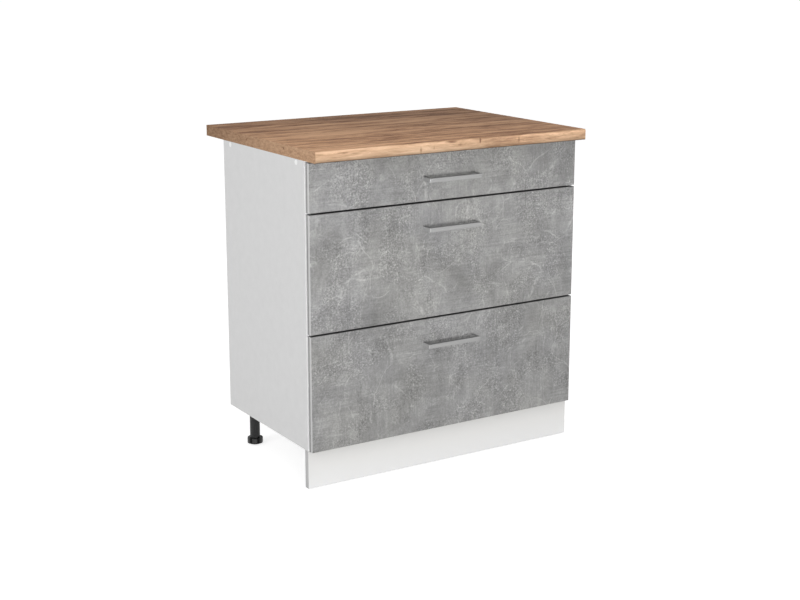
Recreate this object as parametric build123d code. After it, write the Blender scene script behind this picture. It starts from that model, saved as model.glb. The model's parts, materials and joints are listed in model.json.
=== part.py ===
"""A free-standing kitchen base cabinet with three drawers, a worktop, a plinth and levelling feet.

Millimetres, +Z up. The origin is on the floor, below the middle of the worktop.
+X is to the right of someone who faces the drawers, and +Y points to the wall.
"""

from build123d import *
import os
from math import sqrt

os.makedirs("parts", exist_ok=True)

# Boards of the carcass
carcass_width = 800.0
carcass_height = 720.0
carcass_depth = 440.0
board = 16.0
rail_width = 80.0
back_panel_thickness = 3.0
back_panel_inset = 2.0

# Worktop
worktop_side_overhang = 0.0
worktop_depth = 600.0
worktop_thickness = 28.0
worktop_overhang = 38.0
worktop_edge_radius = 4.0
worktop_drip_radius = 2.5

# Drawer fronts
front_thickness = 16.0
front_side_gap = 2.0
front_row_gap = 4.0
front_to_carcass_gap = 2.0
front_edge_radius = 1.5
top_front_height = 120.0

# Drawer boxes
box_board = 16.0
box_rear_gap = 42.0
box_lift = 30.0
shallow_side_height = 64.0
deep_side_height = 180.0
base_thickness = 3.0
base_height_in_side = 12.0
base_groove_depth = 8.0
front_groove_depth = 6.0
groove_play = 0.1
groove_end_play = 0.5

# Roller runners: a channel on the carcass and a profile under each drawer side
runner_side_space = 12.5
runner_sheet = 1.2
runner_bend_radius = 1.8
channel_setback = 2.0
channel_rear_gap = 38.0
channel_track_height = 24.0
channel_track_width = 10.0
channel_below_box = 10.7
channel_entry_length = 28.0
channel_lip_left = 1.0
channel_front_screw_inset = 37.0
channel_rear_screw_inset = 40.0
slot_spacing = 32.0
profile_end_setback = 1.0
profile_flange_width = 9.5
profile_flange_setback = 3.0
profile_shelf_setback = 0.5
profile_front_screw_inset = 40.0
profile_rear_screw_inset = 60.0
front_roller_radius = 10.0
rear_roller_radius = 11.7
roller_width = 5.0
roller_tread_width = 1.75
roller_groove_depth = 0.8
roller_pin_radius = 2.5
roller_bore_play = 0.05
roller_side_play = 0.3
front_roller_inset = 15.0
rear_roller_inset = 12.0
pin_head_radius = 4.0
pin_head_thickness = 0.8
pin_to_screw_gap = 0.5
track_play = 0.3
flange_play = 0.5
channel_hold = 100.0
stop_radius = 4.0
stop_height = 3.0

# Handles
handle_length = 156.0
handle_bar = 10.0
handle_height = 11.0
handle_projection = 32.0
handle_drop = 64.0
handle_corner_radius = 1.5
handle_edge_radius = 0.6

# Plinth and legs
leg_height = 100.0
plinth_floor_gap = 2.0
plinth_top_gap = 1.0
plinth_thickness = 16.0
leg_side_inset = 43.0
leg_front_inset = 50.0
leg_rear_inset = 58.0
socket_size = 60.0
socket_thickness = 4.0
socket_corner_radius = 12.0
socket_collar_radius = 16.5
socket_collar_height = 6.0
socket_screw_inset = 8.0
leg_radius = 13.5
leg_wall = 2.3
leg_socket_depth = 8.0
foot_radius = 21.0
foot_height = 17.0
foot_lobes = 6
foot_notch_radius = 4.2
foot_notch_depth = 4.2
foot_pad_height = 2.5
foot_pad_inset = 1.5
foot_chamfer = 1.5
foot_stem_play = 0.3
foot_stem_length = 55.0
foot_stop_gap = 0.3
clip_height = 18.0
clip_level = 45.0
clip_wall = 2.2
clip_mouth = 18.0
clip_plate_width = 34.0
clip_plug_radius = 5.0
clip_plug_length = 8.0

# Fasteners
hole_play = 0.1
recess_length = 4.0
recess_width = 1.0
recess_depth = 0.8
carcass_screw_length = 50.0
carcass_screw_head_radius = 5.0
carcass_screw_rim = 1.0
carcass_screw_cone_depth = 3.5
carcass_screw_radius = 3.5
carcass_screw_core_radius = 2.6
cap_radius = 6.5
cap_thickness = 1.0
cam_radius = 7.5
cam_height = 12.5
cam_slot_depth = 2.0
cam_slot_width = 1.6
cam_distance = 24.0
cam_bolt_radius = 3.5
cam_bolt_thread_radius = 2.5
cam_bolt_thread_length = 11.0
bottom_cam_inset = 110.0
box_cam_inset = 40.0
box_screw_rise = 28.0
box_screw_drop = 14.0
runner_screw_length = 13.0
runner_screw_radius = 1.75
runner_screw_head_radius = 3.5
runner_screw_head = 1.5
leg_screw_length = 14.0
leg_screw_head = 2.0
worktop_screw_length = 32.0
worktop_screw_inset = 90.0
handle_screw_length = 26.0
handle_screw_radius = 2.0
handle_screw_head_radius = 4.0
handle_screw_head = 2.4
nail_length = 18.0
nail_radius = 0.9
nail_head_radius = 2.8
nail_head = 0.8
nail_end_inset = 90.0
nails_per_edge = 4

# Places that follow from the sizes above
front_y = -worktop_depth / 2 + worktop_overhang
box_y = front_y + front_thickness
carcass_front = box_y + front_to_carcass_gap
carcass_back = carcass_front + carcass_depth
carcass_bottom = leg_height
carcass_top = leg_height + carcass_height
side_x = carcass_width / 2
inner_x = side_x - board
box_outer_x = inner_x - runner_side_space
box_inner_x = box_outer_x - box_board
box_back_y = carcass_back - box_rear_gap
leg_x = side_x - leg_side_inset
socket_screw_offset = socket_size / 2 - socket_screw_inset
leg_front_y = carcass_front + leg_front_inset
leg_rear_y = carcass_back - leg_rear_inset
channel_front = carcass_front + channel_setback
channel_length = carcass_depth - channel_setback - channel_rear_gap
drawer_travel = channel_length - channel_hold
profile_front = box_y + profile_end_setback
profile_back = box_back_y - profile_end_setback
front_roller_y = channel_front + front_roller_inset
rear_roller_y = profile_back - rear_roller_inset

SIDES = {"left": -1, "right": 1}


# Shared helpers


def block(x, y, z):
    """A box between two values along each axis."""
    size = Box(x[1] - x[0], y[1] - y[0], z[1] - z[0])
    return Pos((x[0] + x[1]) / 2, (y[0] + y[1]) / 2, (z[0] + z[1]) / 2) * size


def rod(radius, start, end):
    """A cylinder along Z between two heights."""
    return Pos(0, 0, (start + end) / 2) * Cylinder(radius, end - start)


def turned(points):
    """A solid turned about Z from (radius, height) points."""
    section = make_face(Polyline(*[(r, 0, z) for r, z in points], close=True))
    return revolve(section, Axis.Z)


def facing(x, y, z, direction):
    """A place whose +Z points along the direction, such as into the board a screw enters."""
    return Plane(origin=(x, y, z), z_dir=direction)


def gather(solids):
    """Separate solids that share one file."""
    return Compound(children=[solid for shape in solids for solid in shape.solids()])


def mirrored(shape):
    """The same piece on the other side of the cabinet."""
    return mirror(shape, about=Plane.YZ)


def cut_all(shape, cutters):
    """A shape without the space of the cutters that reach it."""
    box = shape.bounding_box()
    near = [cutter for cutter in cutters if touches(box, cutter.bounding_box())]
    return shape - near if near else shape


def touches(a, b):
    """Whether two bounding boxes share any space."""
    low = all(p <= q for p, q in zip(tuple(a.min), tuple(b.max)))
    high = all(p <= q for p, q in zip(tuple(b.min), tuple(a.max)))
    return low and high


def spread(first, last, count):
    """Evenly spaced values from the first to the last."""
    return [first + (last - first) * step / (count - 1) for step in range(count)]


def save(name, shape):
    export_step(shape, f"parts/{name}.step")


# Fasteners: each is drawn with its seat at height 0 and its shank along +Z


def carcass_screw(grow=0.0):
    """A countersunk board-to-board screw, flush with the board's face."""
    head = carcass_screw_head_radius + grow
    shank = carcass_screw_radius + grow
    core = carcass_screw_core_radius + grow
    return turned(
        [
            (0, -grow),
            (head, -grow),
            (head, carcass_screw_rim),
            (shank, carcass_screw_cone_depth),
            (shank, board),
            (core, board),
            (core, carcass_screw_length + grow),
            (0, carcass_screw_length + grow),
        ]
    )


def flat_screw(radius, length, head_radius, head):
    """A nail or screw whose flat head stands on the surface."""
    return rod(radius, 0, length) + rod(head_radius, -head, 0)


def cross_screw(radius, length, head_radius, head):
    """A flat-headed screw with a crossed recess for its driver."""
    screw = flat_screw(radius, length, head_radius, head)
    for width, reach in ((recess_width, recess_length), (recess_length, recess_width)):
        screw -= Pos(0, 0, -head) * Box(width, reach, 2 * recess_depth)
    return screw


def screw_holes(places, radius, length):
    """The space that screws of one kind take up, with play all round."""
    hole = rod(radius + hole_play, -hole_play, length + hole_play)
    return [place * hole for place in places]


def runner_screw():
    return cross_screw(runner_screw_radius, runner_screw_length, runner_screw_head_radius, runner_screw_head)


def cam_disc():
    """A cam with a crossed driver slot. Its face is at height 0 and its bolt enters along +X."""
    disc = rod(cam_radius, 0, cam_height)
    for width, length in ((cam_slot_width, cam_radius), (cam_radius, cam_slot_width)):
        disc -= Pos(0, 0, cam_slot_depth / 2) * Box(width, length, cam_slot_depth)
    bolt_way = rod(cam_bolt_radius + hole_play, -hole_play, cam_radius)
    return disc - Pos(0, 0, board / 2) * (Rot(0, 90, 0) * bolt_way)


def cam_bore():
    return rod(cam_radius + hole_play, -hole_play, cam_height + hole_play)


def cam_bolt(grow=0.0):
    """A cam bolt: its thread goes into the mating board, below 0, and its shaft reaches the cam."""
    thread = rod(cam_bolt_thread_radius + grow, -cam_bolt_thread_length - grow, 0)
    return thread + rod(cam_bolt_radius + grow, 0, cam_distance + grow)


class CamJoint:
    """A cam and bolt between the end of one board and the face of another.

    The bolt starts at a point on the joint and runs along a direction into the cam's board.
    The cam drops in across the bolt, from the face that lies half a board away.
    """

    def __init__(self, x, y, z, along, across):
        start = Vector(x, y, z)
        along = Vector(*along)
        across = Vector(*across)
        cam_face = start + along * cam_distance - across * (board / 2)
        self.bolt_place = Plane(origin=start, z_dir=along)
        self.cam_place = Plane(origin=cam_face, x_dir=along * -1, z_dir=across)

    def solids(self):
        return [self.cam_place * cam_disc(), self.bolt_place * cam_bolt()]

    def cutters(self):
        return [self.cam_place * cam_bore(), self.bolt_place * cam_bolt(hole_play)]


# Drawer rows, from the lowest up


class Row:
    """One drawer's heights: its front, its box, and the runner track that its rollers share."""

    def __init__(self, name, bottom, front_height, side_height):
        self.name = name
        self.front = (bottom, bottom + front_height)
        self.box = (bottom + box_lift, bottom + box_lift + side_height)
        self.track_floor = self.box[0] - channel_below_box + runner_sheet
        self.track_ceiling = self.track_floor + channel_track_height
        self.flange_top = self.track_ceiling - flange_play
        self.front_roller_z = self.flange_top - runner_sheet - track_play - front_roller_radius
        self.rear_roller_z = self.track_floor + track_play + rear_roller_radius
        self.base = (self.box[0] + base_height_in_side, self.box[0] + base_height_in_side + base_thickness)
        self.handle_z = self.front[1] - handle_drop


def drawer_rows():
    deep_front_height = (carcass_height - top_front_height - 3 * front_row_gap) / 2
    rows = []
    bottom = carcass_bottom
    for name, front_height, side_height in (
        ("bottom", deep_front_height, deep_side_height),
        ("middle", deep_front_height, deep_side_height),
        ("top", top_front_height, shallow_side_height),
    ):
        rows.append(Row(name, bottom, front_height, side_height))
        bottom += front_height + front_row_gap
    return rows


ROWS = drawer_rows()


# Carcass


def rail_centres():
    """The Y of the front and the rear top rail."""
    return {"front": carcass_front + rail_width / 2, "rear": carcass_back - rail_width / 2}


def side_and_rail_places(depth):
    """Places where the side panels meet the ends of the top rails, a depth below the outer face."""
    x = side_x - depth
    z = carcass_top - board / 2
    return [facing(side * x, y, z, (-side, 0, 0)) for side in SIDES.values() for y in rail_centres().values()]


def carcass_screw_places():
    """One screw through each side panel into each end of each top rail, its head below a cap."""
    return side_and_rail_places(cap_thickness)


def bottom_cams():
    """The cams on the underside of the bottom panel, with their bolts in the side panels."""
    z = carcass_bottom + board / 2
    rows = (carcass_front + bottom_cam_inset, carcass_back - bottom_cam_inset)
    return [CamJoint(side * inner_x, y, z, (-side, 0, 0), (0, 0, 1)) for side in SIDES.values() for y in rows]


def channel_screw_offsets():
    """How far behind the channel's front end its screws are."""
    return (channel_front_screw_inset, channel_length / 2, channel_length - channel_rear_screw_inset)


def channel_screw_places(row):
    z = (row.track_floor + row.track_ceiling) / 2
    x = inner_x - runner_sheet
    return [
        facing(side * x, channel_front + offset, z, (side, 0, 0))
        for side in SIDES.values()
        for offset in channel_screw_offsets()
    ]


def leg_centres():
    return [(side * leg_x, y) for side in SIDES.values() for y in (leg_front_y, leg_rear_y)]


def leg_screw_places():
    half = socket_screw_offset
    z = carcass_bottom - socket_thickness
    corners = [(dx, dy) for dx in (-half, half) for dy in (-half, half)]
    return [facing(x + dx, y + dy, z, (0, 0, 1)) for x, y in leg_centres() for dx, dy in corners]


def worktop_screw_places():
    x = inner_x - worktop_screw_inset
    z = carcass_top - board
    return [facing(side * x, y, z, (0, 0, 1)) for side in SIDES.values() for y in rail_centres().values()]


def nail_places():
    """Nails round the back panel, into the rear edges of the side panels, bottom panel and rear rail."""
    y = carcass_back + back_panel_thickness
    upright_x = side_x - board / 2
    rows = spread(carcass_bottom + nail_end_inset, carcass_top - nail_end_inset, nails_per_edge)
    columns = spread(-side_x + nail_end_inset, side_x - nail_end_inset, nails_per_edge)
    spots = [(side * upright_x, z) for side in SIDES.values() for z in rows]
    spots += [(x, z) for x in columns for z in (carcass_bottom + board / 2, carcass_top - board / 2)]
    return [facing(x, y, z, (0, -1, 0)) for x, z in spots]


def carcass_cutters():
    cutters = [place * carcass_screw(hole_play) for place in carcass_screw_places()]
    cutters += [place * screw_cap(hole_play) for place in side_and_rail_places(0)]
    cutters += [cutter for joint in bottom_cams() for cutter in joint.cutters()]
    for row in ROWS:
        cutters += screw_holes(channel_screw_places(row), runner_screw_radius, runner_screw_length)
    cutters += screw_holes(leg_screw_places(), runner_screw_radius, leg_screw_length)
    cutters += screw_holes(worktop_screw_places(), runner_screw_radius, worktop_screw_length)
    cutters += screw_holes(nail_places(), nail_radius, nail_length)
    return cutters


def side_panel(side):
    x = sorted((side * inner_x, side * side_x))
    return block(x, (carcass_front, carcass_back), (carcass_bottom, carcass_top))


def bottom_panel():
    return block((-inner_x, inner_x), (carcass_front, carcass_back), (carcass_bottom, carcass_bottom + board))


def top_rail(centre):
    half = rail_width / 2
    return block((-inner_x, inner_x), (centre - half, centre + half), (carcass_top - board, carcass_top))


def back_panel():
    x = side_x - back_panel_inset
    z = (carcass_bottom + back_panel_inset, carcass_top - back_panel_inset)
    return block((-x, x), (carcass_back, carcass_back + back_panel_thickness), z)


def worktop():
    """The worktop, with its front edge rounded above and below as a postformed edge is."""
    half_width = side_x + worktop_side_overhang
    y = (-worktop_depth / 2, worktop_depth / 2)
    top = block((-half_width, half_width), y, (carcass_top, carcass_top + worktop_thickness))
    top = fillet(front_face_edges(top)[-1], worktop_edge_radius)
    return fillet(front_face_edges(top)[0], worktop_drip_radius)


def front_face_edges(shape):
    """The level edges of a shape's foremost face, from the lowest up."""
    return shape.faces().sort_by(Axis.Y)[0].edges().filter_by(Axis.X).sort_by(Axis.Z)


def save_carcass():
    cutters = carcass_cutters()
    boards = {f"side_panel_{name}": side_panel(side) for name, side in SIDES.items()}
    boards |= {f"top_rail_{name}": top_rail(centre) for name, centre in rail_centres().items()}
    boards |= {"bottom_panel": bottom_panel(), "back_panel": back_panel(), "worktop": worktop()}
    for name, shape in boards.items():
        save(name, cut_all(shape, cutters))
    save("carcass_screws", gather(place * carcass_screw() for place in carcass_screw_places()))
    save("screw_caps", gather(place * screw_cap() for place in side_and_rail_places(0)))
    save("cam_fittings", gather(solid for joint in bottom_cams() for solid in joint.solids()))
    nail = flat_screw(nail_radius, nail_length, nail_head_radius, nail_head)
    save("back_panel_nails", gather(place * nail for place in nail_places()))
    screw = cross_screw(runner_screw_radius, worktop_screw_length, handle_screw_head_radius, handle_screw_head)
    save("worktop_screws", gather(place * screw for place in worktop_screw_places()))


def screw_cap(grow=0.0):
    """A round cap over a screw's head, flush with the outside of the side panel."""
    return rod(cap_radius + grow, -grow, cap_thickness)


# Legs, levelling feet and plinth


def leg_socket():
    """A mounting plate with a collar for the leg tube, its top face at height 0."""
    plate = extrude(RectangleRounded(socket_size, socket_size, socket_corner_radius), -socket_thickness)
    plate += rod(socket_collar_radius, -socket_thickness - socket_collar_height, -socket_thickness)
    plate -= rod(leg_radius + hole_play, -socket_thickness - socket_collar_height, -carcass_gap_in_socket())
    half = socket_screw_offset
    holes = rod(runner_screw_radius + hole_play, -socket_thickness, 0)
    return plate - [Pos(x, y, 0) * holes for x in (-half, half) for y in (-half, half)]


def carcass_gap_in_socket():
    """How far below the carcass the leg tube ends inside its socket."""
    return socket_thickness + socket_collar_height - leg_socket_depth


def leg_tube():
    """The hollow leg between its socket and the levelling foot."""
    bottom = foot_height + foot_stop_gap
    top = leg_height - carcass_gap_in_socket()
    return rod(leg_radius, bottom, top) - rod(leg_radius - leg_wall, bottom, top - leg_wall)


def levelling_foot():
    """A foot with finger notches round its rim and a stem that screws up into the leg."""
    knob = Circle(foot_radius)
    step = 360 / foot_lobes
    for turn in range(foot_lobes):
        centre = Rot(0, 0, (turn + 0.5) * step) * Pos(foot_radius + foot_notch_radius - foot_notch_depth, 0)
        knob -= centre * Circle(foot_notch_radius)
    foot = extrude(knob, foot_height - foot_pad_height)
    foot = Pos(0, 0, foot_pad_height) * foot
    foot = chamfer(foot.faces().sort_by(Axis.Z)[-1].edges(), foot_chamfer)
    foot += rod(foot_radius - foot_notch_depth - foot_pad_inset, 0, foot_pad_height)
    stem_radius = leg_radius - leg_wall - foot_stem_play
    return foot + rod(stem_radius, foot_height, foot_height + foot_stem_length)


def plinth_board():
    y = (carcass_front, carcass_front + plinth_thickness)
    board_shape = block((-side_x, side_x), y, (plinth_floor_gap, leg_height - plinth_top_gap))
    plug = rod(clip_plug_radius + hole_play, 0, clip_plug_length + hole_play)
    level = clip_level + clip_height / 2
    return board_shape - [facing(side * leg_x, y[1], level, (0, -1, 0)) * plug for side in SIDES.values()]


def plinth_clip():
    """A clip on the plinth's rear face whose open ring snaps onto a front leg, centred on that leg."""
    inner = leg_radius + track_play
    outer = inner + clip_wall
    plate_face = carcass_front + plinth_thickness - leg_front_y
    ring = rod(outer, 0, clip_height) - rod(inner, 0, clip_height)
    ring -= block((-clip_mouth / 2, clip_mouth / 2), (0, outer), (0, clip_height))
    half = clip_plate_width / 2
    plate = block((-half, half), (plate_face, plate_face + clip_wall), (0, clip_height))
    neck = block((-leg_radius / 2, leg_radius / 2), (plate_face, -inner - clip_wall / 2), (0, clip_height))
    neck -= rod(inner, 0, clip_height)
    plug = facing(0, plate_face, clip_height / 2, (0, -1, 0)) * rod(clip_plug_radius, 0, clip_plug_length)
    return Pos(0, leg_front_y, clip_level) * (ring + plate + neck + plug)


def save_legs_and_plinth():
    sockets = [Pos(x, y, carcass_bottom) * leg_socket() for x, y in leg_centres()]
    save("leg_sockets", gather(sockets))
    save("leg_tubes", gather(Pos(x, y, 0) * leg_tube() for x, y in leg_centres()))
    screw = cross_screw(runner_screw_radius, leg_screw_length, runner_screw_head_radius, leg_screw_head)
    save("leg_screws", gather(place * screw for place in leg_screw_places()))
    for name, side in SIDES.items():
        for end, y in (("front", leg_front_y), ("rear", leg_rear_y)):
            save(f"levelling_foot_{end}_{name}", Pos(side * leg_x, y, 0) * levelling_foot())
    save("plinth_board", plinth_board())
    save("plinth_clips", gather(Pos(side * leg_x, 0, 0) * plinth_clip() for side in SIDES.values()))


# Roller runners. Everything here is drawn for the left side, and the right side is its mirror image


def bent_sheet(path, start, length):
    """Sheet bent along a path of (x, z) points, its outer face on the path, extruded along Y."""
    line = FilletPolyline(*path, radius=runner_bend_radius)
    section = make_face(offset(line, amount=runner_sheet, side=Side.LEFT))
    return Pos(0, start, 0) * extrude(Plane.XZ * section, amount=-length)


def across(x, y, z, solid):
    """A solid drawn along Z, laid along X with its start at x."""
    return Pos(x, y, z) * (Rot(0, 90, 0) * solid)


def roller_pin(x, y, z, away):
    """A riveted pin on a sheet face at x, pointing along +X if away is 1 and along -X if it is -1."""
    collar = roller_start() - roller_side_play
    end = roller_start() + roller_width + roller_side_play
    pin = rod(pin_head_radius, 0, collar) + rod(roller_pin_radius, collar, end)
    pin += rod(pin_head_radius, end, end + pin_head_thickness)
    return Pos(x, y, z) * (Rot(0, 90 * away, 0) * pin)


def roller_start():
    """How far a roller stands off its sheet, so that its pin's head clears the screws."""
    space = runner_side_space - 2 * runner_sheet - runner_screw_head - pin_to_screw_gap
    return space - pin_head_thickness - roller_side_play - roller_width


def roller(radius):
    """A nylon roller with a shallow groove round its rim, its near face at height 0."""
    tread = roller_tread_width
    wheel = rod(radius, 0, tread) + rod(radius, roller_width - tread, roller_width)
    wheel += rod(radius - roller_groove_depth, tread, roller_width - tread)
    return wheel - rod(roller_pin_radius + roller_bore_play, 0, roller_width)


def channel_web_x():
    """The face of the carcass channel's web that its rollers and screws stand on."""
    return -inner_x + runner_sheet


def profile_web_x():
    """The face of the drawer profile's web that looks to the carcass."""
    return -box_outer_x - runner_sheet


def carcass_channel(row):
    """The C-shaped channel on the left side panel, with the pin of its front roller and its end stops."""
    low = row.track_floor - runner_sheet
    high = row.track_ceiling + runner_sheet
    mouth = -inner_x + channel_track_width
    path = [(mouth, high), (-inner_x, high), (-inner_x, low), (mouth, low)]
    channel = bent_sheet(path, channel_front, channel_length)
    entry = (channel_front, channel_front + channel_entry_length)
    lip = channel_web_x() + channel_lip_left
    channel -= block((lip, mouth), entry, (row.track_ceiling - runner_bend_radius, high))
    stop_z = row.track_floor + stop_height - stop_radius
    channel += across(channel_web_x(), travel_stop_y(row), stop_z, travel_stop())
    channel += rear_tab(row)
    channel += roller_pin(channel_web_x(), front_roller_y, row.front_roller_z, 1)
    holes = screw_holes(channel_screw_places(row), runner_screw_radius, runner_screw_length)
    slots = [slot_hole(channel_front + offset, row) for offset in channel_slot_offsets()]
    below = block((-side_x, mouth), (channel_front, carcass_back), (low - 2 * stop_radius, low))
    return cut_all(channel, [*holes, *slots, below])


def travel_stop():
    """A pressed bump across the track."""
    return rod(stop_radius, 0, channel_track_width - 2 * runner_sheet)


def travel_stop_y(row):
    """Where the bump stands, so that the rear roller meets it when the drawer is fully open."""
    rise = row.rear_roller_z - (row.track_floor + stop_height - stop_radius)
    reach = rear_roller_radius + stop_radius + track_play
    return rear_roller_y - drawer_travel - sqrt(reach**2 - rise**2)


def rear_tab(row):
    """The turned-up end of the track, behind the rear roller of a closed drawer."""
    y = channel_front + channel_length
    x = (channel_web_x(), channel_web_x() + channel_track_width - 2 * runner_sheet)
    return block(x, (y - runner_sheet, y), (row.track_floor, row.track_floor + channel_track_height / 2))


def channel_slot_offsets():
    """Spare adjustment slots beside the screws that are used."""
    front, middle, rear = channel_screw_offsets()
    return (front + slot_spacing, middle + slot_spacing, rear - slot_spacing)


def slot_hole(y, row):
    slot = extrude(SlotOverall(4 * runner_screw_radius, 2 * runner_screw_radius), amount=4 * runner_sheet)
    z = (row.track_floor + row.track_ceiling) / 2
    return facing(-inner_x - runner_sheet, y, z, (1, 0, 0)) * slot


def drawer_profile(row):
    """The Z-shaped profile that wraps a drawer side's lower edge, with the pin of its rear roller."""
    web = profile_web_x()
    rim = web + runner_sheet - profile_flange_width
    shelf = row.box[0] - runner_sheet
    shelf_path = [(web, shelf), (profile_shelf_edge(), shelf)]
    flange_path = [(rim, row.flange_top - runner_sheet), (web, row.flange_top - runner_sheet)]
    flange_end = rear_roller_y - rear_roller_radius - profile_flange_setback
    profile = bent_sheet(flange_path + shelf_path, profile_front, flange_end - profile_front)
    profile += bent_sheet([(web, row.flange_top), *shelf_path], flange_end, profile_back - flange_end)
    profile += roller_pin(web, rear_roller_y, row.rear_roller_z, -1)
    return cut_all(profile, screw_holes(profile_screw_places(row), runner_screw_radius, runner_screw_length))


def profile_shelf_edge():
    """The inner edge of the shelf that carries the drawer side."""
    return -box_inner_x - profile_shelf_setback


def profile_screw_places(row):
    """Screws from below, through the profile's shelf into the drawer side."""
    x = -(box_outer_x + box_inner_x) / 2
    z = row.box[0] - runner_sheet
    spots = (profile_front + profile_front_screw_inset, profile_back - profile_rear_screw_inset)
    return [facing(x, y, z, (0, 0, 1)) for y in spots]


def save_runners(row):
    left_channel = carcass_channel(row)
    save(f"runner_channels_{row.name}", gather([left_channel, mirrored(left_channel)]))
    front_x = channel_web_x() + roller_start()
    front_roller = across(front_x, front_roller_y, row.front_roller_z, roller(front_roller_radius))
    save(f"channel_rollers_{row.name}", gather([front_roller, mirrored(front_roller)]))
    left_profile = drawer_profile(row)
    save(f"drawer_{row.name}_runners", gather([left_profile, mirrored(left_profile)]))
    rear_x = profile_web_x() - roller_start() - roller_width
    rear_roller = across(rear_x, rear_roller_y, row.rear_roller_z, roller(rear_roller_radius))
    save(f"drawer_{row.name}_rollers", gather([rear_roller, mirrored(rear_roller)]))


# Drawers


def box_cams(row):
    """The cams that hold the drawer sides to the front, dropped in from inside the drawer."""
    low, high = row.box
    deep = high - low > 4 * box_cam_inset
    levels = (low + box_cam_inset, high - box_cam_inset) if deep else ((low + high) / 2,)
    x = box_outer_x - box_board / 2
    corners = [(side, z) for side in SIDES.values() for z in levels]
    return [CamJoint(side * x, box_y, z, (0, 1, 0), (side, 0, 0)) for side, z in corners]


def box_screw_places(row):
    """Two screws through each drawer side into the drawer's back."""
    low, high = row.box
    y = box_back_y - box_board / 2
    levels = (low + box_screw_rise, high - box_screw_drop)
    return [facing(side * box_outer_x, y, z, (-side, 0, 0)) for side in SIDES.values() for z in levels]


def handle_screw_places(row):
    """Screws from inside the drawer, through the front into the ends of the handle."""
    x = (handle_length - handle_bar) / 2
    return [facing(side * x, box_y, row.handle_z, (0, -1, 0)) for side in SIDES.values()]


def drawer_cutters(row):
    cutters = [cutter for joint in box_cams(row) for cutter in joint.cutters()]
    cutters += [place * carcass_screw(hole_play) for place in box_screw_places(row)]
    cutters += screw_holes(handle_screw_places(row), handle_screw_radius, handle_screw_length)
    for hole in screw_holes(profile_screw_places(row), runner_screw_radius, runner_screw_length):
        cutters += [hole, mirrored(hole)]
    groove_z = (row.base[0] - groove_play, row.base[1] + groove_play)
    reach = box_inner_x + base_groove_depth
    groove_y = (box_y - front_groove_depth, box_back_y - box_board + base_groove_depth)
    return [*cutters, block((-reach, reach), groove_y, groove_z)]


def drawer_front(row):
    """The decorative front, with its four face edges eased."""
    x = side_x - front_side_gap
    front = block((-x, x), (front_y, box_y), row.front)
    return fillet(front.faces().sort_by(Axis.Y)[0].edges(), front_edge_radius)


def drawer_side(row, side):
    """A drawer side, its lower outer edge eased to lie in the bend of the runner profile."""
    x = sorted((side * box_inner_x, side * box_outer_x))
    shape = block(x, (box_y, box_back_y), row.box)
    lower_edges = shape.faces().sort_by(Axis.Z)[0].edges().filter_by(Axis.Y).sort_by(Axis.X)
    outer_edge = lower_edges[-1] if side > 0 else lower_edges[0]
    return fillet(outer_edge, runner_bend_radius - runner_sheet + groove_play)


def drawer_back(row):
    return block((-box_inner_x, box_inner_x), (box_back_y - box_board, box_back_y), row.box)


def drawer_base(row):
    x = box_inner_x + base_groove_depth - groove_end_play
    front = box_y - front_groove_depth + groove_end_play
    back = box_back_y - box_board + base_groove_depth - groove_end_play
    return block((-x, x), (front, back), row.base)


def handle(row):
    """A square bar bent to a flat U, its two ends flat against the front."""
    seat = handle_projection / 2
    gap = Rectangle(handle_length - 2 * handle_bar, handle_projection)
    outline = Rectangle(handle_length, handle_projection) - Pos(0, handle_bar) * gap
    corners = [corner for corner in outline.vertices() if corner.Y < seat - handle_edge_radius]
    outline = fillet(corners, handle_corner_radius)
    bar = extrude(outline, handle_height / 2, both=True)
    flat_edges = [edge for face in bar.faces().filter_by(Axis.Z) for edge in face.edges()]
    eased = [edge for edge in flat_edges if edge.center().Y < seat - handle_edge_radius]
    bar = fillet(eased, handle_edge_radius)
    bar = Pos(0, front_y - seat, row.handle_z) * bar
    return cut_all(bar, screw_holes(handle_screw_places(row), handle_screw_radius, handle_screw_length))


def save_drawer(row):
    cutters = drawer_cutters(row)
    boards = {"front": drawer_front(row), "back": drawer_back(row)}
    boards |= {f"side_{name}": drawer_side(row, side) for name, side in SIDES.items()}
    for name, shape in boards.items():
        save(f"drawer_{row.name}_{name}", cut_all(shape, cutters))
    save(f"drawer_{row.name}_base", drawer_base(row))
    save(f"drawer_{row.name}_handle", handle(row))
    screw = cross_screw(handle_screw_radius, handle_screw_length, handle_screw_head_radius, handle_screw_head)
    save(f"drawer_{row.name}_handle_screws", gather(place * screw for place in handle_screw_places(row)))
    fasteners = [solid for joint in box_cams(row) for solid in joint.solids()]
    fasteners += [place * carcass_screw() for place in box_screw_places(row)]
    for place in profile_screw_places(row):
        screw = place * runner_screw()
        fasteners += [screw, mirrored(screw)]
    save(f"drawer_{row.name}_fasteners", gather(fasteners))


save_carcass()
save_legs_and_plinth()
channel_screws = []
for drawer_row in ROWS:
    save_runners(drawer_row)
    save_drawer(drawer_row)
    channel_screws += [place * runner_screw() for place in channel_screw_places(drawer_row)]
save("runner_screws", gather(channel_screws))
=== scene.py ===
"""Finishes, light and camera for the kitchen base cabinet with three drawers.

Metres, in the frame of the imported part: +X to the right of the drawers, -Y to the viewer, +Z up.
"""

import json
from math import radians

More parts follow.
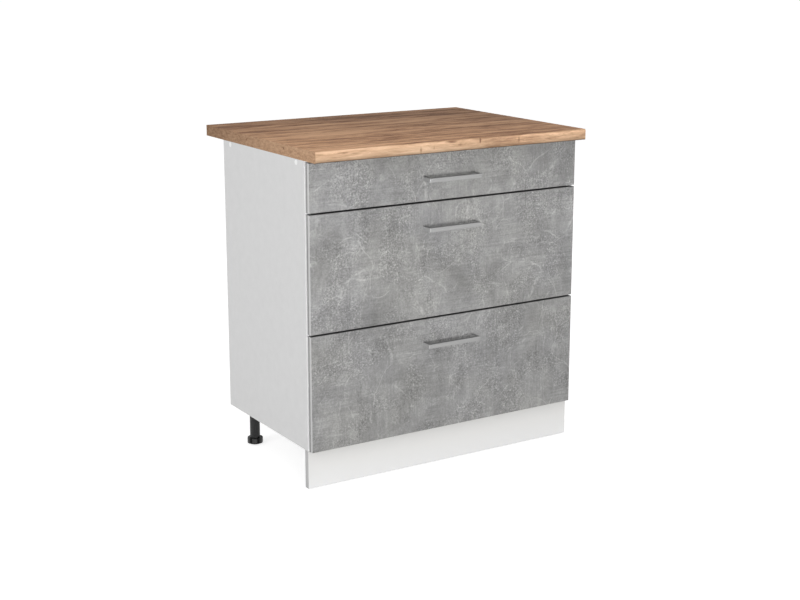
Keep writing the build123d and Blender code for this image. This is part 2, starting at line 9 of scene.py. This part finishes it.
import bpy
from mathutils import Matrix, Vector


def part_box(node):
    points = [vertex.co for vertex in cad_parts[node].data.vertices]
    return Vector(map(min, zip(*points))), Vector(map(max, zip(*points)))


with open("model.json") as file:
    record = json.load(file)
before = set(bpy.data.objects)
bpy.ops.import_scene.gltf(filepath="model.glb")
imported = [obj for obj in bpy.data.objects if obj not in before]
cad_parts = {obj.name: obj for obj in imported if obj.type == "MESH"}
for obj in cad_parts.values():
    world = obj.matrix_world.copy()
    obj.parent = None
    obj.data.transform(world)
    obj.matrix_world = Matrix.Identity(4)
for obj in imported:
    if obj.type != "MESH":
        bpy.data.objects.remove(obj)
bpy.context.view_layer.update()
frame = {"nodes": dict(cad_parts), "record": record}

# Camera, as fitted to the photograph's straight edges
IMAGE_WIDTH = 800
IMAGE_HEIGHT = 600
CAMERA_PLACE = (-1.995, -3.220, 1.323)
CAMERA_TURN = 32.02
CAMERA_DIP = 12.72
FOCAL_PIXELS = 1446.6
PRINCIPAL_ROW = 268
SENSOR_WIDTH = 36
CAMERA_CLIP_START = 0.05

# Light: levels for the surroundings, and each lamp's place, target, size and power
WORLD_LEVEL = 0.46
FLOOR_ALBEDO = 0.70
FLOOR_LIFT = 0.70
FLOOR_HALF_SIZE = 60.0
LAMPS = {
    "front": ((-0.8, -4.3, 0.40), (0, 0, 0.45), (2.2, 0.75), 83),
    "above": ((0.0, -0.6, 4.4), (0, 0, 0.8), (2.4, 2.4), 12),
    "left": ((-3.9, -0.9, 2.1), (0, 0, 0.5), (2.6, 2.2), 57),
    "right": ((3.9, 0.7, 2.2), (0, 0, 0.5), (2.6, 2.2), 32),
}

# Places that the finishes follow
FRONT_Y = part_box("drawer_top_front")[0].y
FRONT_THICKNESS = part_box("drawer_top_front")[1].y - FRONT_Y
WORKTOP_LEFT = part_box("worktop")[0].x
WORKTOP_FRONT_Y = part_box("worktop")[0].y
WORKTOP_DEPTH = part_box("worktop")[1].y - WORKTOP_FRONT_Y
WORKTOP_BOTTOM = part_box("worktop")[0].z
WORKTOP_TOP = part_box("worktop")[1].z


# Node graphs


class Graph:
    """A material's node tree, with short calls for the nodes that the finishes share."""

    def __init__(self, name):
        self.material = bpy.data.materials.new(name)
        self.material.use_nodes = True
        self.tree = self.material.node_tree
        self.shader = self.tree.nodes["Principled BSDF"]
        coordinates = self.add("TexCoord")
        self.point = coordinates.outputs["Object"]
        self.normal = coordinates.outputs["Normal"]

    def add(self, kind, **settings):
        node = self.tree.nodes.new("ShaderNode" + kind)
        for key, value in settings.items():
            setattr(node, key, value)
        return node

    def feed(self, socket, value):
        """Links a socket to another node's output, or sets a plain value on it."""
        if isinstance(value, bpy.types.NodeSocket):
            self.tree.links.new(value, socket)
        else:
            socket.default_value = value

    def calc(self, operation, *values):
        node = self.add("Math", operation=operation)
        for socket, value in zip(node.inputs, values):
            self.feed(socket, value)
        return node.outputs[0]

    def vector(self, operation, *values):
        """The node of a vector calculation."""
        node = self.add("VectorMath", operation=operation)
        for socket, value in zip(node.inputs, values):
            self.feed(socket, value)
        return node

    def axis(self, vector, name):
        """One component of a vector."""
        node = self.add("SeparateXYZ")
        self.feed(node.inputs[0], vector)
        return node.outputs[name]

    def stretched(self, factors, shift=(0, 0, 0), point=None):
        """The point, scaled by its own factor along each axis."""
        node = self.add("Mapping")
        self.feed(node.inputs["Vector"], point or self.point)
        node.inputs["Scale"].default_value = factors
        node.inputs["Location"].default_value = shift
        return node.outputs[0]

    def noise(self, scale, detail=3.0, rough=0.5, warp=0.0, shift=(0, 0, 0), point=None):
        """Cloud noise around 0.5. The scale is one number or one for each axis."""
        factors = scale if isinstance(scale, tuple) else (scale, scale, scale)
        node = self.add("TexNoise")
        self.feed(node.inputs["Vector"], self.stretched(factors, shift, point))
        node.inputs["Scale"].default_value = 1.0
        node.inputs["Detail"].default_value = detail
        node.inputs["Roughness"].default_value = rough
        node.inputs["Distortion"].default_value = warp
        return node.outputs[0]

    def cells(self, scale, feature="F1", shift=(0, 0, 0), point=None):
        """A Voronoi node, for its distance and the colour of each cell."""
        factors = scale if isinstance(scale, tuple) else (scale, scale, scale)
        node = self.add("TexVoronoi", feature=feature)
        self.feed(node.inputs["Vector"], self.stretched(factors, shift, point))
        node.inputs["Scale"].default_value = 1.0
        return node

    def span(self, value, low, high, start=0.0, end=1.0):
        """The value, taken smoothly from one range to another and held at its ends."""
        node = self.add("MapRange", interpolation_type="SMOOTHSTEP")
        self.feed(node.inputs["Value"], value)
        node.inputs["From Min"].default_value = low
        node.inputs["From Max"].default_value = high
        node.inputs["To Min"].default_value = start
        node.inputs["To Max"].default_value = end
        return node.outputs[0]

    def total(self, start, *terms):
        """The start plus, for each (value, weight), the weight times how far the value is from 0.5."""
        result = start
        for value, weight in terms:
            node = self.add("Math", operation="MULTIPLY_ADD")
            self.feed(node.inputs[0], value)
            node.inputs[1].default_value = weight
            centred = self.calc("ADD", result, -0.5 * weight)
            self.feed(node.inputs[2], centred)
            result = node.outputs[0]
        return result

    def swing(self, value, share, weight, middle=0.5):
        """How far the value is from its middle, times the weight and a share that varies."""
        away = self.calc("SUBTRACT", value, middle)
        return self.calc("MULTIPLY", self.calc("MULTIPLY", away, share), weight)

    def towards(self, value, other, share):
        """The value, moved by a share of the way to another."""
        return self.calc("ADD", value, self.calc("MULTIPLY", share, self.calc("SUBTRACT", other, value)))

    def ramp(self, value, *stops):
        """A colour for each value, through (place, colour) stops."""
        node = self.add("ValToRGB")
        self.feed(node.inputs[0], value)
        elements = node.color_ramp.elements
        while len(elements) < len(stops):
            elements.new(0.5)
        for element, (place, colour) in zip(elements, stops):
            element.position = place
            element.color = (*colour, 1)
        return node.outputs[0]

    def mix(self, share, a, b, blend="MIX"):
        node = self.add("Mix", data_type="RGBA", blend_type=blend)
        self.feed(node.inputs[0], share)
        for socket, value in ((node.inputs[6], a), (node.inputs[7], b)):
            self.feed(socket, (*value, 1) if isinstance(value, tuple) else value)
        return node.outputs[2]

    def facing(self, axis, sign, low=0.55, high=0.8):
        """1 on faces that look along an axis, 0 elsewhere."""
        component = self.calc("MULTIPLY", self.axis(self.normal, axis), float(sign))
        return self.span(component, low, high)

    def facing_both(self, axis):
        """1 on faces that look along an axis, either way, 0 elsewhere."""
        return self.calc("MAXIMUM", self.facing(axis, 1), self.facing(axis, -1))

    def bump(self, height, distance, strength=1.0):
        node = self.add("Bump")
        node.inputs["Strength"].default_value = strength
        node.inputs["Distance"].default_value = distance
        self.feed(node.inputs["Height"], height)
        self.tree.links.new(node.outputs[0], self.shader.inputs["Normal"])

    def surface(self, colour, roughness, **constants):
        """Sets the shader's colour and roughness, and its other inputs as constants."""
        self.feed(self.shader.inputs["Base Color"], (*colour, 1) if isinstance(colour, tuple) else colour)
        self.feed(self.shader.inputs["Roughness"], roughness)
        for name, value in constants.items():
            self.shader.inputs[name.replace("_", " ")].default_value = value
        return self.material


def grey(level):
    return (level, level, level)


# Concrete drawer fronts


def concrete():
    """Concrete decor on the face, painted darker towards the bottom as painted shade, with banded edges and
    a white back.
    """
    g = Graph("concrete_front")
    patches = g.noise(15.0, 6, 0.72, 0.5, (3, 1, 7))
    brushed = g.noise((11, 30, 210), 4, 0.62, 0.15, (1, 4, 9))
    grain = g.noise(230.0, 3, 0.7, 0.0)
    value = concrete_tone(g, patches, brushed, grain)
    colour = g.ramp(
        value,
        (0.0, (0.160, 0.160, 0.158)),
        (0.35, (0.264, 0.264, 0.260)),
        (0.6, (0.357, 0.357, 0.351)),
        (1.0, (0.570, 0.568, 0.558)),
    )
    warm = (1.008, 1.0, 0.985)
    cool = (0.992, 0.986, 1.006)
    tint = g.ramp(g.noise(6.0, 3, 0.5, 0.4, (2, 7, 5)), (0.36, warm), (0.64, cool))
    colour = g.mix(0.8, colour, tint, "MULTIPLY")
    # Painted shade: the face is painted darker towards the bottom.
    lower_painted_shade = g.span(g.axis(g.point, "Z"), 0.15, 0.70, 0.845, 0.99)
    colour = g.mix(1.0, colour, lower_painted_shade, "MULTIPLY")
    colour = concrete_edges(g, colour)
    g.bump(g.total(0.5, (grain, 0.5), (brushed, 0.5), (patches, 0.3)), 0.0004, 0.5)
    return g.surface(colour, g.span(value, 0.2, 0.9, 0.66, 0.52), Specular_IOR_Level=0.25)


def concrete_tone(g, patches, brushed, grain):
    """Clouds, patches, smears and grain, with brushing across in places and upright in the others."""
    clouds = g.noise(5.0, 3, 0.5, 0.5)
    smears = g.noise((34, 6, 7), 5, 0.6, 0.3, (5, 0, 2))
    brushed_up = g.noise((230, 30, 13), 4, 0.6, 0.1, (8, 2, 3))
    across = g.span(g.noise(7.0, 2, 0.5, 0.0, (9, 9, 1)), 0.42, 0.62)
    upright = g.calc("SUBTRACT", 1.0, across)
    rough = g.span(g.noise(8.0, 4, 0.6, 0.6, (3, 3, 9)), 0.42, 0.60)
    value = g.total(0.50, (clouds, 0.45), (patches, 0.90), (smears, 0.45), (grain, 0.60))
    for addition in (
        g.swing(grain, rough, 1.05, 0.56),
        g.swing(brushed, across, 0.62),
        g.swing(brushed_up, upright, 0.45),
        concrete_flecks(g, rough),
        concrete_strokes(g),
    ):
        value = g.calc("ADD", value, addition)
    return value


def concrete_flecks(g, rough):
    """Pale flecks of uneven size that gather where the face is rough, and a few dark pinholes."""
    ragged = g.noise(420.0, 2, 0.5)
    pale = 0.0
    for scale in (150.0, 270.0):
        dots = g.cells(scale)
        uneven = g.axis(dots.outputs["Color"], "X")
        reach = g.total(dots.outputs["Distance"], (uneven, 0.42), (ragged, 0.5))
        pale = g.calc("ADD", pale, g.span(reach, 0.06, 0.20, 0.28, 0.0))
    pale = g.calc("MULTIPLY", pale, g.calc("ADD", g.calc("MULTIPLY", rough, 0.85), 0.15))
    holes = g.cells(95.0, shift=(3, 8, 1))
    dark = g.span(holes.outputs["Distance"], 0.07, 0.17, 1.0, 0.0)
    rare = g.span(g.axis(holes.outputs["Color"], "Y"), 0.76, 0.84)
    dark = g.calc("MULTIPLY", g.calc("MULTIPLY", dark, rare), 0.26)
    return g.calc("SUBTRACT", pale, dark)


# Each net of trowel strokes: scale, shift and strength
STROKES = (
    (6.0, (2, 6, 4), 0.24),
    (8.0, (0, 0, 0), 0.24),
    (13.0, (5, 5, 5), 0.20),
)
STROKE_WIDTH = 0.0024


def concrete_strokes(g):
    """Thin pale curved strokes of a trowel, broken up into short pieces."""
    warp = g.add("TexNoise")
    g.feed(warp.inputs["Vector"], g.point)
    warp.inputs["Scale"].default_value = 4.0
    bent = g.vector("MULTIPLY_ADD", warp.outputs["Color"], (0.35, 0.0, 0.35), g.point).outputs[0]
    result = 0.0
    for scale, shift, strength in STROKES:
        lines = g.cells(scale, "DISTANCE_TO_EDGE", shift, bent)
        line = g.span(lines.outputs["Distance"], 0.0, STROKE_WIDTH * scale, 1.0, 0.0)
        broken = g.span(g.noise(21.0, 3, 0.6, 0.0, shift), 0.50, 0.60)
        stroke = g.calc("MULTIPLY", g.calc("MULTIPLY", line, broken), strength)
        result = g.calc("ADD", result, stroke)
    return result


def concrete_edges(g, colour):
    """The colour with a pale band and a dark band of painted shade on the upright edges, level edges
    darkened with painted shade, and a white back.
    """
    depth = g.calc("DIVIDE", g.calc("SUBTRACT", g.axis(g.point, "Y"), FRONT_Y), FRONT_THICKNESS)
    pale, dark, white = grey(0.70), grey(0.27), grey(0.92)
    # The dark band is painted shade in the gap behind the front's upright edges.
    band = g.ramp(depth, (0.36, pale), (0.60, dark), (0.86, dark), (0.93, white))
    colour = g.mix(g.facing_both("X"), colour, g.mix(0.25, band, colour))
    # Painted shade: the level edges are darkened where they face each other across the gaps.
    colour = g.mix(g.facing_both("Z"), colour, g.mix(0.3, grey(0.09), colour))
    return g.mix(g.facing("Y", 1), colour, grey(0.84))


# Worktop


def oak_worktop():
    """Oak laminate with its grain along the cabinet, with painted light and shade, paler on the front edge
    as painted light, and raw board behind.
    """
    g = Graph("worktop_oak")
    bands = g.noise((1.3, 7, 7), 3, 0.5, 0.4)
    fibres = g.noise((9, 420, 420), 3, 0.6, 0.1, (7, 1, 4))
    pores = g.noise((28, 900, 900), 2, 0.7, 0.0, (1, 5, 2))
    end = g.facing_both("X")
    front = g.facing("Y", -1, 0.25, 0.8)
    colour = g.ramp(
        oak_tone(g, bands, fibres, pores, front, end),
        (0.0, (0.175, 0.083, 0.045)),
        (0.3, (0.300, 0.155, 0.084)),
        (0.55, (0.455, 0.252, 0.140)),
        (1.0, (0.650, 0.390, 0.232)),
    )
    # Painted light and shade: brighter at the front left, darker to the rear right.
    colour = g.mix(1.0, colour, oak_shade(g), "MULTIPLY")
    # Painted light: the front edge is painted paler, as lit from the front, and oak_lip paints its rounding.
    paler = g.mix(1.0, colour, (1.23, 1.44, 1.64), "MULTIPLY")
    colour = g.mix(front, colour, g.mix(1.0, paler, oak_lip(g), "MULTIPLY"))
    colour = g.mix(end, colour, g.mix(1.0, colour, (0.92, 1.03, 1.14), "MULTIPLY"))
    colour = g.mix(g.facing("Y", 1), colour, chipboard_colour(g))
    backing = g.ramp(g.noise(300.0, 3), (0.3, (0.10, 0.075, 0.055)), (0.7, (0.15, 0.115, 0.085)))
    colour = g.mix(g.facing("Z", -1, 0.15, 0.5), colour, backing)
    g.bump(g.total(0.5, (fibres, 0.8), (pores, -0.6)), 0.0002, 0.5)
    return g.surface(colour, g.span(fibres, 0.3, 0.7, 0.70, 0.60), Specular_IOR_Level=0.05)


def oak_tone(g, bands, fibres, pores, front, end):
    """Streaks and ripples along the grain, calmer on the front edge and cut across at the ends."""
    streaks = g.noise((3.6, 42, 42), 6, 0.66, 0.7, (2, 3, 1))
    ripples = g.noise((13, 120, 120), 6, 0.72, 1.0, (6, 2, 8))
    end_grain = g.noise((40, 60, 190), 4, 0.65, 0.3, (2, 2, 2))
    value = g.total(0.56, (bands, 1.80), (streaks, -2.70), (ripples, 2.50), (fibres, 0.55))
    value = g.calc("SUBTRACT", value, g.calc("MULTIPLY", g.span(streaks, 0.59, 0.70), 0.12))
    value = g.calc("SUBTRACT", value, g.calc("MULTIPLY", g.span(pores, 0.60, 0.72), 0.13))
    calmer = g.calc("ADD", g.calc("MULTIPLY", value, 0.55), 0.28)
    value = g.towards(value, calmer, front)
    cut = g.total(0.52, (end_grain, 1.2), (bands, 0.5), (fibres, 0.4))
    value = g.towards(value, cut, end)
    return g.calc("SUBTRACT", value, oak_knots(g))


def oak_shade(g):
    """Painted light and shade: a grey level that falls from the front left of the worktop to its rear right.
    """
    rearward = g.calc("DIVIDE", g.calc("SUBTRACT", g.axis(g.point, "Y"), WORKTOP_FRONT_Y), WORKTOP_DEPTH)
    rightward = g.calc("ADD", g.calc("MULTIPLY", g.axis(g.point, "X"), 0.55), 0.15)
    deeper = g.calc("ADD", g.calc("MULTIPLY", rearward, 0.8), rightward)
    return g.ramp(deeper, (0.1, grey(1.18)), (0.5, grey(0.93)), (0.9, grey(0.65)))


def oak_lip(g):
    """Painted highlight and shade for the rounded front edge: bright on top, dark underneath and paler to
    the right.
    """
    raised = g.calc("SUBTRACT", g.axis(g.point, "Z"), WORKTOP_BOTTOM)
    upwards = g.ramp(
        g.calc("DIVIDE", raised, WORKTOP_TOP - WORKTOP_BOTTOM),
        (0.03, grey(0.42)),
        (0.12, grey(0.58)),
        (0.22, grey(0.76)),
        (0.35, grey(0.87)),
        (0.62, grey(0.96)),
        (0.85, grey(1.16)),
        (1.0, grey(1.06)),
    )
    return g.mix(1.0, upwards, g.span(g.axis(g.point, "X"), 0.08, 0.20, 1.0, 1.28), "MULTIPLY")


# Each knot or crack: X, distance behind the front edge, distance below the top, width, height and darkness
OAK_KNOTS = (
    (-0.109, 0.000, 0.018, 0.005, 0.012, 0.55),
    (-0.071, 0.000, 0.014, 0.003, 0.007, 0.30),
    (-0.020, 0.000, 0.004, 0.022, 0.0045, 0.60),
    (0.006, 0.000, 0.012, 0.010, 0.004, 0.40),
    (0.052, 0.008, 0.000, 0.014, 0.006, 0.40),
    (0.066, 0.000, 0.006, 0.004, 0.010, 0.65),
    (0.185, 0.000, 0.013, 0.004, 0.014, 0.25),
    (0.130, 0.320, 0.000, 0.014, 0.006, 0.40),
    (-0.262, 0.158, 0.000, 0.010, 0.005, 0.30),
    (WORKTOP_LEFT, 0.160, 0.010, 0.010, 0.006, 0.40),
    (WORKTOP_LEFT, 0.360, 0.012, 0.010, 0.005, 0.30),
    (-0.080, 0.490, 0.000, 0.012, 0.006, 0.30),
)


def oak_knots(g):
    """Small dark knots and cracks, mostly along the front edge."""
    result = 0.0
    rough = g.calc("MULTIPLY", g.noise((60, 200, 200), 3), 0.8)
    for x, behind, below, width, height, darkness in OAK_KNOTS:
        middle = (x, WORKTOP_FRONT_Y + behind, WORKTOP_TOP - below)
        place = g.vector("SUBTRACT", g.point, middle).outputs[0]
        shape = g.vector("MULTIPLY", place, (1 / width, 1 / height, 1 / height)).outputs[0]
        far = g.vector("LENGTH", shape).outputs["Value"]
        ragged = g.calc("ADD", far, rough)
        result = g.calc("ADD", result, g.span(ragged, 0.35, 1.4, darkness, 0.0))
    return result


def chipboard_colour(g):
    """Pressed chips in browns."""
    chips = g.cells((240, 240, 700))
    tone = g.axis(chips.outputs["Color"], "X")
    return g.ramp(
        g.total(tone, (g.noise(600.0, 3), 0.4)),
        (0.1, (0.230, 0.140, 0.075)),
        (0.5, (0.420, 0.285, 0.170)),
        (0.9, (0.600, 0.450, 0.300)),
    )


# Boards


def white_board():
    """White melamine: a satin face with a faint mottle and pore texture, and banded front edges painted
    brighter as painted light.
    """
    g = Graph("white_board")
    mottle = g.noise(40.0, 4, 0.6)
    pores = g.noise(1500.0, 2, 0.6)
    colour = g.ramp(mottle, (0.3, grey(0.688)), (0.7, grey(0.712)))
    # Painted light: the front edges are painted brighter than the faces of the same board.
    colour = g.mix(g.facing("Y", -1), colour, grey(0.92))
    g.bump(pores, 0.00012, 0.35)
    return g.surface(colour, g.span(mottle, 0.3, 0.7, 0.44, 0.36), Specular_IOR_Level=0.4)


def hardboard():
    """Thin fibreboard: white lacquer on its front or upper face and bare brown fibre behind."""
    g = Graph("white_hardboard")
    fibres = g.noise(320.0, 5, 0.75, 0.8)
    felt = g.noise(900.0, 2, 0.6)
    brown = g.ramp(
        g.total(0.5, (fibres, 1.0), (felt, 0.5)),
        (0.1, (0.130, 0.076, 0.042)),
        (0.5, (0.250, 0.157, 0.092)),
        (0.9, (0.370, 0.250, 0.155)),
    )
    white = g.ramp(g.noise(60.0, 3), (0.3, grey(0.79)), (0.7, grey(0.82)))
    shown = g.calc("MAXIMUM", g.facing("Y", -1), g.facing("Z", 1))
    g.bump(g.calc("MULTIPLY", felt, g.calc("SUBTRACT", 1.0, shown)), 0.0003, 0.6)
    roughness = g.span(shown, 0.0, 1.0, 0.82, 0.38)
    return g.surface(g.mix(shown, brown, white), roughness, Specular_IOR_Level=0.35)


def plinth_white():
    """White coated board, a little darker and yellower towards its top, the darkening as painted shade under
    the overhanging fronts, and a darker grey on its end faces.
    """
    g = Graph("plinth_white")
    mottle = g.noise(30.0, 4, 0.6)
    pores = g.noise(1500.0, 2, 0.6)
    height = g.total(g.calc("MULTIPLY", g.axis(g.point, "Z"), 9.5), (mottle, 0.12))
    # Painted shade: the ramp darkens the board towards its top, under the overhanging fronts.
    tone = g.ramp(
        height,
        (0.0, (0.81, 0.81, 0.807)),
        (0.55, (0.775, 0.769, 0.756)),
        (1.0, (0.69, 0.683, 0.668)),
    )
    g.bump(pores, 0.00012, 0.3)
    return g.surface(g.mix(g.facing_both("X"), tone, grey(0.50)), 0.40, Specular_IOR_Level=0.4)


# Metal parts


def brushed_handle():
    """Light grey metal, brushed along the handle, with painted shade on top and painted light on the sides.
    """
    g = Graph("brushed_handle")
    lines = g.noise((9, 1300, 1300), 4, 0.7)
    broad = g.noise((5, 130, 130), 3, 0.5, 0.0, (4, 4, 4))
    tone = g.total(0.5, (lines, 0.9), (broad, 0.5))
    colour = g.ramp(tone, (0.2, grey(0.25)), (0.8, (0.360, 0.358, 0.353)))
    # Painted shade: the top faces are painted darker.
    colour = g.mix(g.facing("Z", 1), colour, grey(0.20))
    # Painted light: the side faces are painted paler.
    colour = g.mix(g.facing_both("X"), colour, grey(0.50))
    g.bump(lines, 0.00015, 0.5)
    return g.surface(colour, g.span(tone, 0.2, 0.8, 0.50, 0.38), Metallic=0.55, Anisotropic=0.5)


def runner_steel():
    """White coated steel sheet: a hard satin lacquer with a light orange peel."""
    g = Graph("runner_white")
    peel = g.noise(700.0, 2)
    mottle = g.noise(30.0, 3)
    g.bump(peel, 0.0002, 0.3)
    colour = g.ramp(mottle, (0.3, (0.77, 0.77, 0.755)), (0.7, (0.83, 0.83, 0.82)))
    roughness = g.span(peel, 0.3, 0.7, 0.34, 0.26)
    return g.surface(colour, roughness, Specular_IOR_Level=0.5, Coat_Weight=0.2, Coat_Roughness=0.2)


def zinc():
    """Zinc plating with a faint cloudy tint."""
    g = Graph("zinc_steel")
    clouds = g.noise(220.0, 4, 0.6)
    tint = g.ramp(clouds, (0.3, (0.52, 0.54, 0.57)), (0.55, (0.64, 0.64, 0.62)), (0.75, (0.70, 0.67, 0.60)))
    g.bump(g.noise(1100.0, 3), 0.0002, 0.4)
    return g.surface(tint, g.span(clouds, 0.3, 0.7, 0.42, 0.28), Metallic=1.0)


# Plastic parts


def leg_grid():
    """The legs' distance from the middle in X, and the middle and half span of their places in Y."""
    front_low, front_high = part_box("levelling_foot_front_right")
    rear_low, rear_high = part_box("levelling_foot_rear_right")
    front = (front_low.y + front_high.y) / 2
    rear = (rear_low.y + rear_high.y) / 2
    return (front_low.x + front_high.x) / 2, (front + rear) / 2, (rear - front) / 2


LEG_X, LEG_MIDDLE_Y, LEG_HALF_SPAN = leg_grid()

# Ranges of height and radius over which the foot ends, its rim with the painted highlight begins and the
# flutes begin
FOOT_TOP = (0.0166, 0.0174)
RIM_LOW = (0.003, 0.004)
RIM_INNER = (0.0178, 0.0195)
TUBE_LOW = (0.019, 0.021)
FLUTES = 28


def black_plastic():
    """Moulded black plastic: fine spark texture, flutes down the leg tubes with painted shade in their
    grooves, a painted highlight on the feet's rims and painted shade on their tops and notches.
    """
    g = Graph("black_plastic")
    texture = g.noise(1400.0, 3, 0.6)
    mottle = g.noise(70.0, 3)
    height = g.axis(g.point, "Z")
    x = g.calc("SUBTRACT", g.calc("ABSOLUTE", g.axis(g.point, "X")), LEG_X)
    from_middle = g.calc("SUBTRACT", g.axis(g.point, "Y"), LEG_MIDDLE_Y)
    y = g.calc("SUBTRACT", g.calc("ABSOLUTE", from_middle), LEG_HALF_SPAN)
    radius = g.calc("SQRT", g.calc("ADD", g.calc("MULTIPLY", x, x), g.calc("MULTIPLY", y, y)))
    in_foot = g.span(height, *FOOT_TOP, 1.0, 0.0)
    # Painted highlight: the feet's outer rims above the pad.
    rim = g.calc("MULTIPLY", in_foot, g.span(radius, *RIM_INNER))
    rim = g.calc("MULTIPLY", rim, g.span(height, *RIM_LOW))
    # Painted shade: the feet inside their rims, and their upward faces.
    painted_shade_area = g.calc("MULTIPLY", in_foot, g.calc("SUBTRACT", 1.0, rim))
    painted_shade_area = g.calc("MAXIMUM", painted_shade_area, g.calc("MULTIPLY", in_foot, g.facing("Z", 1, 0.85, 0.95)))
    flutes = g.calc("SINE", g.calc("MULTIPLY", g.calc("ARCTAN2", y, x), float(FLUTES)))
    flutes = g.calc("MULTIPLY", flutes, g.span(height, *TUBE_LOW))
    g.bump(g.calc("ADD", g.calc("MULTIPLY", texture, 0.25), g.calc("MULTIPLY", flutes, 0.5)), 0.0006, 0.6)
    colour = g.ramp(mottle, (0.3, (0.006, 0.006, 0.0064)), (0.7, (0.013, 0.013, 0.0136)))
    # Painted shade in the flute grooves.
    colour = g.mix(1.0, colour, g.span(flutes, -0.9, 0.2, 0.1, 1.0), "MULTIPLY")
    # Painted highlight on the feet's rims.
    colour = g.mix(rim, colour, grey(0.034))
    # Painted shade over the rest of the feet.
    colour = g.mix(painted_shade_area, colour, grey(0.003))
    worn = g.calc("MAXIMUM", g.span(texture, 0.3, 0.7, 0.42, 0.30), g.calc("MULTIPLY", painted_shade_area, 0.95))
    return g.surface(colour, worn, Specular_IOR_Level=0.35)


def white_plastic():
    """Glossy white caps with a faint mottle."""
    g = Graph("white_plastic")
    mottle = g.noise(250.0, 2)
    g.bump(mottle, 0.0001, 0.3)
    return g.surface(g.ramp(mottle, (0.3, grey(0.90)), (0.7, grey(0.93))), 0.28, Specular_IOR_Level=0.5)


def roller_nylon():
    """Pale nylon with fine turning marks and a slight glow."""
    g = Graph("roller_nylon")
    marks = g.noise((900, 60, 60), 3)
    g.bump(marks, 0.0002, 0.4)
    colour = g.ramp(marks, (0.3, (0.70, 0.70, 0.66)), (0.7, (0.80, 0.80, 0.77)))
    return g.surface(colour, 0.36, Subsurface_Weight=0.12, Subsurface_Scale=0.003)


FINISHES = {
    "concrete_front": concrete(),
    "worktop_oak": oak_worktop(),
    "white_board": white_board(),
    "white_hardboard": hardboard(),
    "plinth_white": plinth_white(),
    "brushed_handle": brushed_handle(),
    "black_plastic": black_plastic(),
    "white_plastic": white_plastic(),
    "roller_nylon": roller_nylon(),
    "runner_white": runner_steel(),
    "zinc_steel": zinc(),
}


def dress_nodes():
    """Gives each CAD node the finish of its material slot in the record."""
    for subpart in frame["record"]["subparts"]:
        obj = frame["nodes"][subpart["node"]]
        obj.data.materials.clear()
        obj.data.materials.append(FINISHES[subpart["material_slot"]])


# Floor, light and camera


def seen_directly(tree):
    """1 for the camera's rays, also by way of a reflection or through glass, 0 for light on surfaces."""
    path = tree.nodes.new("ShaderNodeLightPath")
    seen = path.outputs["Is Camera Ray"]
    for name in ("Is Glossy Ray", "Is Transmission Ray"):
        either = tree.nodes.new("ShaderNodeMath")
        either.operation = "MAXIMUM"
        tree.links.new(seen, either.inputs[0])
        tree.links.new(path.outputs[name], either.inputs[1])
        seen = either.outputs[0]
    return seen


def add_floor():
    """A pale floor that renders white away from the cabinet and keeps its shadow."""
    size = FLOOR_HALF_SIZE
    mesh = bpy.data.meshes.new("floor")
    corners = [(-size, -size, 0), (size, -size, 0), (size, size, 0), (-size, size, 0)]
    mesh.from_pydata(corners, [], [(0, 1, 2, 3)])
    floor = bpy.data.objects.new("floor", mesh)
    bpy.context.scene.collection.objects.link(floor)
    g = Graph("floor")
    g.surface(grey(FLOOR_ALBEDO), 1.0, Specular_IOR_Level=0.0)
    lift = g.add("Emission")
    g.feed(lift.inputs["Strength"], g.calc("MULTIPLY", seen_directly(g.tree), FLOOR_LIFT))
    both = g.add("AddShader")
    output = g.tree.nodes["Material Output"]
    g.tree.links.new(g.shader.outputs[0], both.inputs[0])
    g.tree.links.new(lift.outputs[0], both.inputs[1])
    g.tree.links.new(both.outputs[0], output.inputs["Surface"])
    mesh.materials.append(g.material)


def add_world():
    """White to the camera and in reflections, and a plain even light for everything else."""
    world = bpy.data.worlds.new("studio")
    world.use_nodes = True
    bpy.context.scene.world = world
    tree = world.node_tree
    background = tree.nodes["Background"]
    background.inputs["Color"].default_value = (1, 1, 1, 1)
    level = tree.nodes.new("ShaderNodeMapRange")
    tree.links.new(seen_directly(tree), level.inputs["Value"])
    level.inputs["To Min"].default_value = WORLD_LEVEL
    level.inputs["To Max"].default_value = 1.0
    tree.links.new(level.outputs[0], background.inputs["Strength"])


def add_lamp(name, place, target, size, power):
    """A rectangular area lamp that looks at its target."""
    data = bpy.data.lights.new(name, "AREA")
    data.shape = "RECTANGLE"
    data.size, data.size_y = size
    data.energy = power
    lamp = bpy.data.objects.new(name, data)
    bpy.context.scene.collection.objects.link(lamp)
    lamp.location = place
    direction = Vector(target) - Vector(place)
    lamp.rotation_euler = direction.to_track_quat("-Z", "Y").to_euler()


def add_camera():
    """The photograph's view: turned to the right, tilted down and with a small shift."""
    data = bpy.data.cameras.new("camera")
    data.sensor_width = SENSOR_WIDTH
    data.lens = FOCAL_PIXELS * SENSOR_WIDTH / IMAGE_WIDTH
    data.shift_y = (PRINCIPAL_ROW - IMAGE_HEIGHT / 2) / IMAGE_WIDTH
    data.clip_start = CAMERA_CLIP_START
    camera = bpy.data.objects.new("camera", data)
    bpy.context.scene.collection.objects.link(camera)
    camera.location = CAMERA_PLACE
    camera.rotation_euler = (radians(90 - CAMERA_DIP), 0, -radians(CAMERA_TURN))
    bpy.context.scene.camera = camera


dress_nodes()
add_floor()
add_world()
for lamp_name, lamp_values in LAMPS.items():
    add_lamp(lamp_name, *lamp_values)
add_camera()
bpy.context.scene.view_settings.view_transform = "Standard"
